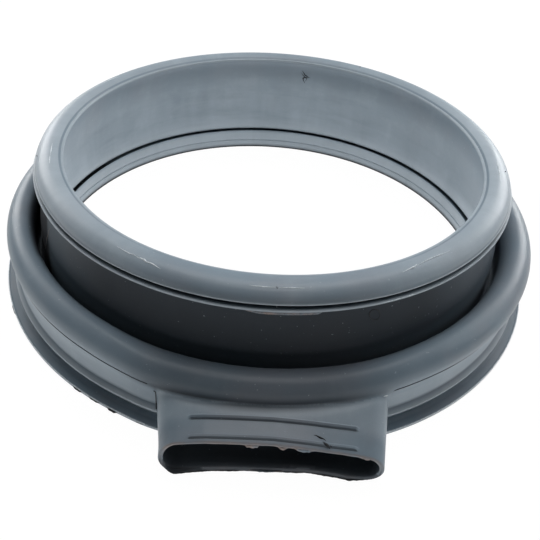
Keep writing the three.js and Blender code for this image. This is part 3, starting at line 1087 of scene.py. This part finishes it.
def pixel_ray(v, px, py):
    """Where the camera stands and the way that it looks at a pixel of the photograph"""
    right, up, back, target = view_axes(v)
    ray = right * ((px - v.middle[0]) / v.focal) - up * ((py - v.middle[1]) / v.focal) - back
    return target + back * v.distance, ray


def seen_at(v, tree, px, py):
    """The point of a surface that the photograph shows at a pixel, and the way its face looks"""
    start, ray = pixel_ray(v, px, py)
    place, normal, *rest = tree.ray_cast(start, ray.normalized())
    if place is None:
        raise ValueError(f"nothing is seen at {px}, {py}")
    return place, normal


def height_at(v, px, py, z):
    """The point at a height that the photograph shows at a pixel"""
    start, ray = pixel_ray(v, px, py)
    return start + ray * ((z - start.z) / ray.z)


def bearing(place):
    """Angle of a place about the ring's axis"""
    return math.atan2(place.y - RING_Y, place.x)


def surface_of(piece):
    work = bmesh.new()
    work.from_mesh(piece.data)
    tree = BVHTree.FromBMesh(work)
    work.free()
    return tree


# Marks, by the photograph's pixels: radius in mm, then the places along each mark. A torn edge has the
# width that it sticks out in mm, then its two ends

NICKS = (
    (0.6, ((313.8, 435.1), (317, 435.8), (320.2, 437.7), (323.2, 438.7), (325.8, 440.5))),
    (1, ((322.8, 441.8), (325.1, 443.9), (327.3, 445.3), (328.9, 447), (329.9, 448.9))),
    (0.4, ((330.4, 445.3), (332, 447.6))),
    (0.5, ((302, 70.2), (303.2, 72), (304.8, 74.8), (307.2, 76.6), (310.2, 78))),
    (0.6, ((308.6, 77.8), (305, 77.4), (302.9, 78.2), (303.4, 80.6), (304.8, 83))),
    (0.4, ((300.9, 72.5), (303.8, 76), (306.8, 79), (305, 81.4))),
    (0.42, ((472.6, 147), (473.4, 147.8))),
    (0.3, ((276.9, 285.6), (277.3, 289.4))),
)
# Painted glints: whitish strokes where small lights catch the lip, the rim and the rib, and a few whitish
# specks
GLINTS_AND_SPECKS = (
    (0.3, ((249, 285.2), (262, 286.6), (270, 287.1), (276, 287.3))),
    (0.3, ((279, 287.6), (288, 287.5), (296, 287.9), (305, 288.3))),
    (0.35, ((116, 245.6), (121.7, 249.2), (129.7, 253.6), (133.7, 254.6), (138, 257.4), (141.8, 259.6))),
    (0.75, ((139.8, 257.6), (141.8, 258.6), (144, 259.6), (146.4, 261.9), (150, 263))),
    (0.45, ((144, 260.4), (152.7, 264), (160.7, 269))),
    (0.4, ((402.5, 272.2), (409.4, 268.8), (415.1, 267), (418, 264.6))),
    (0.8, ((410, 268.6), (414, 267.2), (417, 264.4))),
    (0.42, ((417, 265.6), (422, 262.7), (427.7, 259.8), (433.5, 257.3), (442.7, 253.8), (449.5, 250.6))),
    (0.35, ((52.4, 143), (50.7, 152), (50.2, 155))),
    (0.45, ((50, 155.6), (49.6, 159), (49.3, 164))),
    (0.4, ((496.6, 160.8), (498, 166.6), (499.5, 173.5), (500.8, 181.4))),
    (0.35, ((102.1, 83.4), (111, 79.4), (120, 76.2))),
    (0.4, ((451.2, 252.8), (451.9, 252.6))),
    (0.4, ((455.7, 251.6), (456.2, 251.4))),
    (0.45, ((470.1, 241.3), (470.8, 241.1))),
    (0.45, ((383.5, 396.5), (388, 395.2))),
)
# Painted glints along the panel rib
RIB_GLINTS = ((0.3, (377, 305.3), (416.3, 294.4)), (0.5, (404, 297.9), (416, 294.5)))
# Painted highlight along the neck's left edge
NECK_RIM_LIGHT = ((49.6, 228.5), (47.2, 238), (45.7, 249))
PARTING_TURN = ((154, 391), (155.4, 391.4), (155.8, 394), (156.2, 402), (156.4, 409))
PARTING_ENDS = ((386, 397), (153, 391))
NUBS = ((37.4, 156.2), (360, 67.4), (505, 172))
RING_MARK = (374.8, 314.6, 5.3)
GROOVE_WEB = ((276.8, 304.6), (276.9, 314.4))
RIB_TEAR = ((238, 311.5), (322.5, 313))
FLANGE_TEARS = (
    (0.8, ((13.4, 303), (17.5, 316))),
    (1, ((72.4, 385), (81.5, 394))),
    (0.8, ((86, 396.4), (99, 406.2))),
    (1.3, ((104.5, 408.6), (117, 414.6))),
    (0.9, ((131, 421), (146, 427.6))),
)
# Across the mouth in mm from the axis, and how far the torn edge hangs down there
MOUTH_TEAR = (
    (-44, 0.2), (-36, 0.35), (-22, 0.5), (-8, 0.4), (-4.2, 0.6), (-3.3, 1.8), (-0.3, 2.2), (2.8, 1.9),
    (3.6, 0.5), (11.4, 0.35), (13.6, 0.5), (15.8, 1.9), (17, 2.3), (18.6, 1.3), (19.7, 0.5), (23.1, 0.6),
    (25.3, 1.5), (27, 2.1), (31.4, 1.8), (33.3, 0.9), (34.7, 0.5), (42, 0.4), (50.3, 0.4), (55.8, 0.9),
    (57.5, 0.5), (62, 0.8), (63.6, 1.4), (65.8, 0.6))
UNDER_TEAR = (
    (-43, 0.1), (-40, 0.6), (-36, 0.7), (-28, 1), (-22, 0.5), (-12, 0.9), (-4, 0.4),
    (18, 0.5), (26, 0.9), (34, 0.5), (42, 1), (50, 0.7), (57, 1.2), (63, 0.6), (67, 0.2))
PALE_TEAR = ((-1, 0.3), (1.5, 1.1), (6, 1.5), (12, 1.2), (16, 0.9), (19, 0.3))


def finished_seal():
    piece = bpy.data.objects.get("seal_moulding")
    if piece is None:
        raise RuntimeError("the seal's moulding has to be built first")
    return piece


SPACING = 1.2
LONGEST_STEP = 4 * MM


def traced(v, surface, pixels):
    """Places on the seal along a line of pixels, which has to stay on one surface"""
    places = []
    for (ax, ay), (bx, by) in zip(pixels, pixels[1:]):
        steps = max(1, round(math.hypot(bx - ax, by - ay) / SPACING))
        places += [(ax + (bx - ax) * i / steps, ay + (by - ay) * i / steps) for i in range(steps)]
    places.append(pixels[-1])
    found = [seen_at(v, surface, px, py)[0] for px, py in places]
    if any((b - a).length > LONGEST_STEP for a, b in zip(found, found[1:])):
        raise ValueError(f"the line from {pixels[0]} leaves its surface")
    return found


def round_line(s, r, z, turn):
    """Places round the ring at a radius and a height, shifted as the moulding is"""
    return relax_shape(s, np.stack([r * np.cos(turn), r * np.sin(turn) + RING_Y, z + 0 * turn], -1))


def mouth_line(s, table, h, way):
    """Places along the mouth's edge with the way that its torn rubber goes"""
    known = np.array(table) * MM
    across = np.arange(known[0, 0], known[-1, 0], 0.4 * MM)
    reach = np.interp(across, known[:, 0], known[:, 1])
    places = duct_place(s, across - s.duct_offset, 0.35 * MM, h + 0 * across)
    return places, reach[:, None] * np.array(way)


# Operators

class SEAL_OT_moulding(bpy.types.Operator):
    """Builds the ring and its air duct as one rubber moulding"""
    bl_idname = "seal.moulding"
    bl_label = "Seal Moulding"

    def execute(self, context):
        s = context.scene.seal_sizes
        rubber = rubber_material(context.scene.rubber_finish)
        tree = turned_tree()
        seal = turned("seal_moulding", ring_section(s), tree, TURN_STEPS, rubber)

        part_r, part_z = parting(s)
        roll_inside = s.roll_reach - 2 * s.roll_radius
        half = s.wall / 2
        middle = [
            (s.crease_radius - half, -2 * MM),
            (s.crease_radius - half, s.crease_height),
            (part_r - half, part_z),
            (s.roll_reach - half, s.roll_height),
        ]
        hollow = (roll_inside + s.wall + s.roll_reach - s.roll_radius) / 2
        trim = turned("duct_trim", block_section(middle), tree, TRIM_STEPS, rubber)
        core = turned("duct_core", block_section([(hollow, 0.0)]), tree, TRIM_STEPS, rubber)
        duct = combined(duct_body(s), trim, 'DIFFERENCE')
        bore = combined(duct_bore(s), core, 'DIFFERENCE')
        combined(seal, duct, 'UNION')
        combined(seal, bore, 'DIFFERENCE')

        wall_line = outer_wall(s, Outline()).points(SECTION_STEP, closed=False)
        beyond = wall_line[wall_line[:, 0] > roll_inside + 0.7 * MM]
        inside = [(0.0, 0.0), (0.0, s.roll_height), (roll_inside, s.roll_height)]
        soften_root(s, seal, np.concatenate([inside, beyond]))
        mark_points(s, seal)
        set_points(seal.data, relax_shape(s, points_of(seal.data)))
        for face in seal.data.polygons:
            face.use_smooth = True
        seal.data.materials.clear()
        seal.data.materials.append(rubber)
        print("seal_moulding", len(seal.data.vertices), "points",
              sum(len(f.vertices) - 2 for f in seal.data.polygons), "triangles")
        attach(seal, "root")
        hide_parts("door_seal")
        return {'FINISHED'}


class SEAL_OT_marks(bpy.types.Operator):
    """Lays the nicks, the painted glints and a few specks, the nubs and the plain ring mark on the moulding
    """
    bl_idname = "seal.marks"
    bl_label = "Nicks and Scuffs"

    def execute(self, context):
        s = context.scene.seal_sizes
        v = context.scene.seal_stage
        finish = context.scene.rubber_finish
        surface = surface_of(finished_seal())
        dark = dark_material(finish)
        glinting = glint_material(finish)

        def beads(name, marks, material, wobble, taper=0.8, step=0.35):
            thickest = max(radius for radius, _ in marks)
            lines = [(places, radius / thickest, taper) for radius, places in marks]
            piece = drawn(name, lines, stroke_tree(), {
                "Radius": thickest * MM, "Wobble": wobble * MM, "Step": step * MM, "Seed": STROKE_SEED,
                "Material": material})
            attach(piece, "root")

        beads("nicks", [(radius, traced(v, surface, pixels)) for radius, pixels in NICKS], dark, 0.5)
        nubs = []
        for px, py in NUBS:
            place, normal = seen_at(v, surface, px, py)
            nubs.append((0.45, [place, place + normal * 0.5 * MM, place + normal * 1.0 * MM]))
        beads("nubs", nubs, dark, 0.2)
        px, py, radius = RING_MARK
        turn = np.arange(33) * math.pi / 16
        circle = [(px + radius * math.cos(a), py + radius * math.sin(a)) for a in turn]
        beads("ring_mark", [(0.35, traced(v, surface, circle))], dark, 0.0, 0.3)
        top, foot = (seen_at(v, surface, *pixel)[0] for pixel in GROOVE_WEB)
        part_r, part_z = parting(s)
        _, groove_foot, _ = heights(s)
        # Painted glints on the lip and along the panel rib, and a few specks
        scuffs = [(radius, traced(v, surface, pixels)) for radius, pixels in GLINTS_AND_SPECKS]
        for radius, *ends in RIB_GLINTS:
            start, end = (bearing(height_at(v, *pixel, groove_foot)) for pixel in ends)
            turn = np.arange(start, end, LINE_STEP)
            scuffs.append((radius, round_line(
                s, s.panel_rib_radius - 0.1 * MM, groove_foot - 0.3 * MM, turn)))
        beads("scuffs", scuffs, glinting, 0.25)
        start, end = (bearing(seen_at(v, surface, *pixel)[0]) for pixel in PARTING_ENDS)
        turn = np.arange(start, end + 2 * math.pi, LINE_STEP)
        beads("parting_line", [
            (0.42, round_line(s, part_r + 0.05 * MM, part_z - 0.35 * MM, turn)),
            (0.42, traced(v, surface, PARTING_TURN))], dark, 0.0, 0.0, 1.2)
        # Painted highlight: a whitish bead along the flange's top edge
        flange = round_line(s, FLANGE_RADIUS - 0.15 * MM, s.flange_thickness + 0.1 * MM, turn)
        beads("flange_edge", [(0.36, flange)], glinting, 0.1, 0.0, 1.2)
        # Painted highlight: a light grey line along the neck's left edge
        beads("neck_line", [(0.3, traced(v, surface, NECK_RIM_LIGHT))], torn_material(finish), 0.0, 0.5)
        # Painted shade: a dark bead round the foot's bottom inner edge
        full = np.arange(0, 2 * math.pi + 0.01, 2 * LINE_STEP)
        beads("foot_edge", [
            (0.4, round_line(s, s.foot_inner_radius - 0.05 * MM, 0.42 * MM, full))], dark, 0.1, 0.0, 1.2)
        beads("groove_web", [(0.2, [top.lerp(foot, k / 6) for k in range(7)])], glinting, 0.1)
        return {'FINISHED'}


class SEAL_OT_flash(bpy.types.Operator):
    """Leaves thin torn rubber along the mouth, the panel rib and the foot flange"""
    bl_idname = "seal.flash"
    bl_label = "Torn Flash"

    def execute(self, context):
        s = context.scene.seal_sizes
        v = context.scene.seal_stage
        finish = context.scene.rubber_finish
        surface = surface_of(finished_seal())
        torn = torn_material(finish)
        dark = dark_material(finish)

        def sheets(name, lines, material, ragged, thickness):
            piece = torn_sheets(name, lines, flash_tree(), {
                "Ragged": ragged, "Seed": FLASH_SEED, "Material": material}, thickness * MM)
            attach(piece, "root")

        top = s.duct_height / 2 - s.mouth_top * 0.6
        bottom = -s.duct_height / 2 + 0.5 * MM
        sheets("mouth_flash", [
            mouth_line(s, MOUTH_TEAR, top, (0.0, -0.2, -1.25)),
            mouth_line(s, PALE_TEAR, bottom + 0.8 * MM, (0.0, -1.0, 0.1)),
        ], torn, 0.9, 0.35)
        sheets("under_flash", [mouth_line(s, UNDER_TEAR, bottom, (0.0, -1.0, -0.1))], dark, 1.2, 0.4)

        lines = []
        for reach, ends in FLANGE_TEARS:
            lines.append(self.ring_line(
                [height_at(v, *pixel, s.flange_thickness / 2) for pixel in ends],
                FLANGE_RADIUS - 0.3 * MM, s.flange_thickness * 0.5, reach, (1.0, -0.15), 1.0))
        sheets("flange_flash", lines, dark, 1.0, 0.5)

        _, _, neck_top = heights(s)
        sheets("rib_flash", [self.ring_line(
            [seen_at(v, surface, *pixel)[0] for pixel in RIB_TEAR],
            s.panel_rib_radius - 0.45 * MM, neck_top + 0.3 * MM, 1.9, (0.1, -1.0), 0.35)], torn, 0.25, 0.4)
        return {'FINISHED'}

    def ring_line(self, ends, radius, z, reach, way, last):
        """A line round the ring between two places; last is how abruptly its far end stops"""
        start, end = map(bearing, ends)
        steps = max(6, round(abs(end - start) * radius / (0.4 * MM)))
        share = np.arange(steps + 1) / steps
        angle = start + (end - start) * share
        ring = np.stack([np.cos(angle), np.sin(angle), 0 * angle], -1)
        places = ring * radius + np.array((0.0, RING_Y, z))
        swell = np.minimum(ease(share, 0.0, 0.3), 1 - ease(share, 1 - 0.3 * last, 1.0))
        out = ring * way[0] + np.array((0.0, 0.0, way[1]))
        return places, out * (np.maximum(swell, 0.08) * reach * MM)[:, None]


# Softboxes: the setting of their power, place, height of their aim, and size
SOFTBOXES = (
    ("top", (0.0, 0.0, 1.4), 0.0, (0.8, 0.8)),
    ("back", (0.0, 0.55, 1.3), 0.0, (1.2, 0.6)),
    ("left", (-0.9, 0.9, 0.5), 0.05, (0.6, 0.6)),
    ("right", (0.9, 0.9, 0.5), 0.05, (0.6, 0.6)),
    ("side_left", (-1.2, 0.1, 0.75), 0.05, (0.5, 1.0)),
    ("side_right", (1.2, 0.1, 0.75), 0.05, (0.5, 1.0)),
)
FLOOR_HALF, FLOOR_Z = 6.0, -0.3 * MM
IMAGE, SENSOR = 540, 36.0


class SEAL_OT_studio(bpy.types.Operator):
    """Builds the pale floor, the lights and the camera"""
    bl_idname = "seal.studio"
    bl_label = "Studio"

    def execute(self, context):
        v = context.scene.seal_stage
        self.floor(v)
        self.world(v)
        self.lights(v)
        self.camera(context, v)
        return {'FINISHED'}

    def rays(self, nodes, *names):
        """What kind of ray looks, each 0 or 1"""
        path = nodes.add('ShaderNodeLightPath')
        return [path.other(name) for name in names]

    def floor(self, v):
        shader = Shader("studio_floor")
        matt = shader.add('ShaderNodeBsdfDiffuse', None, {'Color': (0.86, 0.86, 0.86, 1)})
        glow = shader.add('ShaderNodeEmission', None, {
            'Color': (1.0, 0.99, 0.97, 1), 'Strength': v.floor_glow})
        lit = shader.add('ShaderNodeAddShader', None, {0: matt, 1: glow})
        white = shader.add('ShaderNodeEmission', None, {'Color': (1, 1, 1, 1), 'Strength': 1.0})
        camera, glossy, through = self.rays(
            shader, 'Is Camera Ray', 'Is Glossy Ray', 'Is Transmission Ray')
        shader.finish(shader.add('ShaderNodeMixShader', None, {
            0: (camera + glossy + through) * 0.95, 1: lit, 2: white}))
        mesh = bpy.data.meshes.new("studio_floor")
        corners = ((-1, -1), (1, -1), (1, 1), (-1, 1))
        mesh.from_pydata([(x * FLOOR_HALF, y * FLOOR_HALF, FLOOR_Z) for x, y in corners], [], [(0, 1, 2, 3)])
        mesh.materials.append(shader.material)
        floor = bpy.data.objects.new("studio_floor", mesh)
        bpy.context.scene.collection.objects.link(floor)

    def world(self, v):
        world = bpy.data.worlds.new("studio")
        world.use_nodes = True
        nodes = Nodes(world.node_tree)
        nodes.tree.nodes.clear()
        seen = nodes.maths('MAXIMUM', *self.rays(nodes, 'Is Camera Ray', 'Is Transmission Ray'))
        soft, white = (
            nodes.add('ShaderNodeBackground', None, {'Color': colour, 'Strength': strength})
            for colour, strength in (((0.93, 0.97, 1.0, 1), v.ambient), ((1, 1, 1, 1), 1.0)))
        mix = nodes.add('ShaderNodeMixShader', None, {0: seen, 1: soft, 2: white})
        nodes.add('ShaderNodeOutputWorld', None, {0: mix})
        bpy.context.scene.world = world

    def lights(self, v):
        for name, place, aim_height, size in SOFTBOXES:
            light = bpy.data.lights.new(f"softbox_{name}", 'AREA')
            light.shape = 'RECTANGLE'
            light.size, light.size_y = size
            light.energy = getattr(v, f"{name}_power")
            lamp = bpy.data.objects.new(light.name, light)
            lamp.location = place
            away = Vector(place) - Vector((0, 0, aim_height))
            lamp.rotation_euler = away.to_track_quat('Z', 'Y').to_euler()
            bpy.context.scene.collection.objects.link(lamp)

    def camera(self, context, v):
        right, up, back, target = view_axes(v)
        data = bpy.data.cameras.new("photo_camera")
        data.sensor_width = SENSOR
        data.lens = v.focal / IMAGE * SENSOR
        data.shift_x = (IMAGE / 2 - v.middle[0]) / IMAGE
        data.shift_y = (v.middle[1] - IMAGE / 2) / IMAGE
        camera = bpy.data.objects.new("photo_camera", data)
        axes = Matrix((right, up, back)).transposed().to_4x4()
        camera.matrix_world = Matrix.Translation(target + back * v.distance) @ axes
        context.scene.collection.objects.link(camera)
        context.scene.camera = camera


class SEAL_PT_panel(bpy.types.Panel):
    """Buttons and sizes of the door seal"""
    bl_label = "Door Seal"
    bl_idname = "SEAL_PT_panel"
    bl_space_type = 'VIEW_3D'
    bl_region_type = 'UI'
    bl_category = "Door Seal"

    def draw(self, context):
        layout = self.layout
        for operator in OPERATORS:
            layout.operator(operator.bl_idname)
        for group in (getattr(context.scene, name) for name in GROUPS):
            box = layout.box()
            for name in group.__annotations__:
                box.prop(group, name, text=name.replace("_", " ").capitalize())


OPERATORS = (SEAL_OT_studio, SEAL_OT_moulding, SEAL_OT_marks, SEAL_OT_flash)
GROUPS = {"seal_sizes": SealSizes, "rubber_finish": RubberFinish, "seal_stage": StageSettings}
CLASSES = (*GROUPS.values(), *OPERATORS, SEAL_PT_panel)


def register():
    for made in CLASSES:
        bpy.utils.register_class(made)
    for name, group in GROUPS.items():
        setattr(bpy.types.Scene, name, bpy.props.PointerProperty(type=group))


def unregister():
    for name in GROUPS:
        delattr(bpy.types.Scene, name)
    for made in reversed(CLASSES):
        bpy.utils.unregister_class(made)


def main():
    register()
    bpy.context.scene.view_settings.view_transform = 'Standard'
    bpy.ops.seal.studio()
    bpy.ops.seal.moulding()
    bpy.ops.seal.marks()
    bpy.ops.seal.flash()


if __name__ == "__main__":
    main()
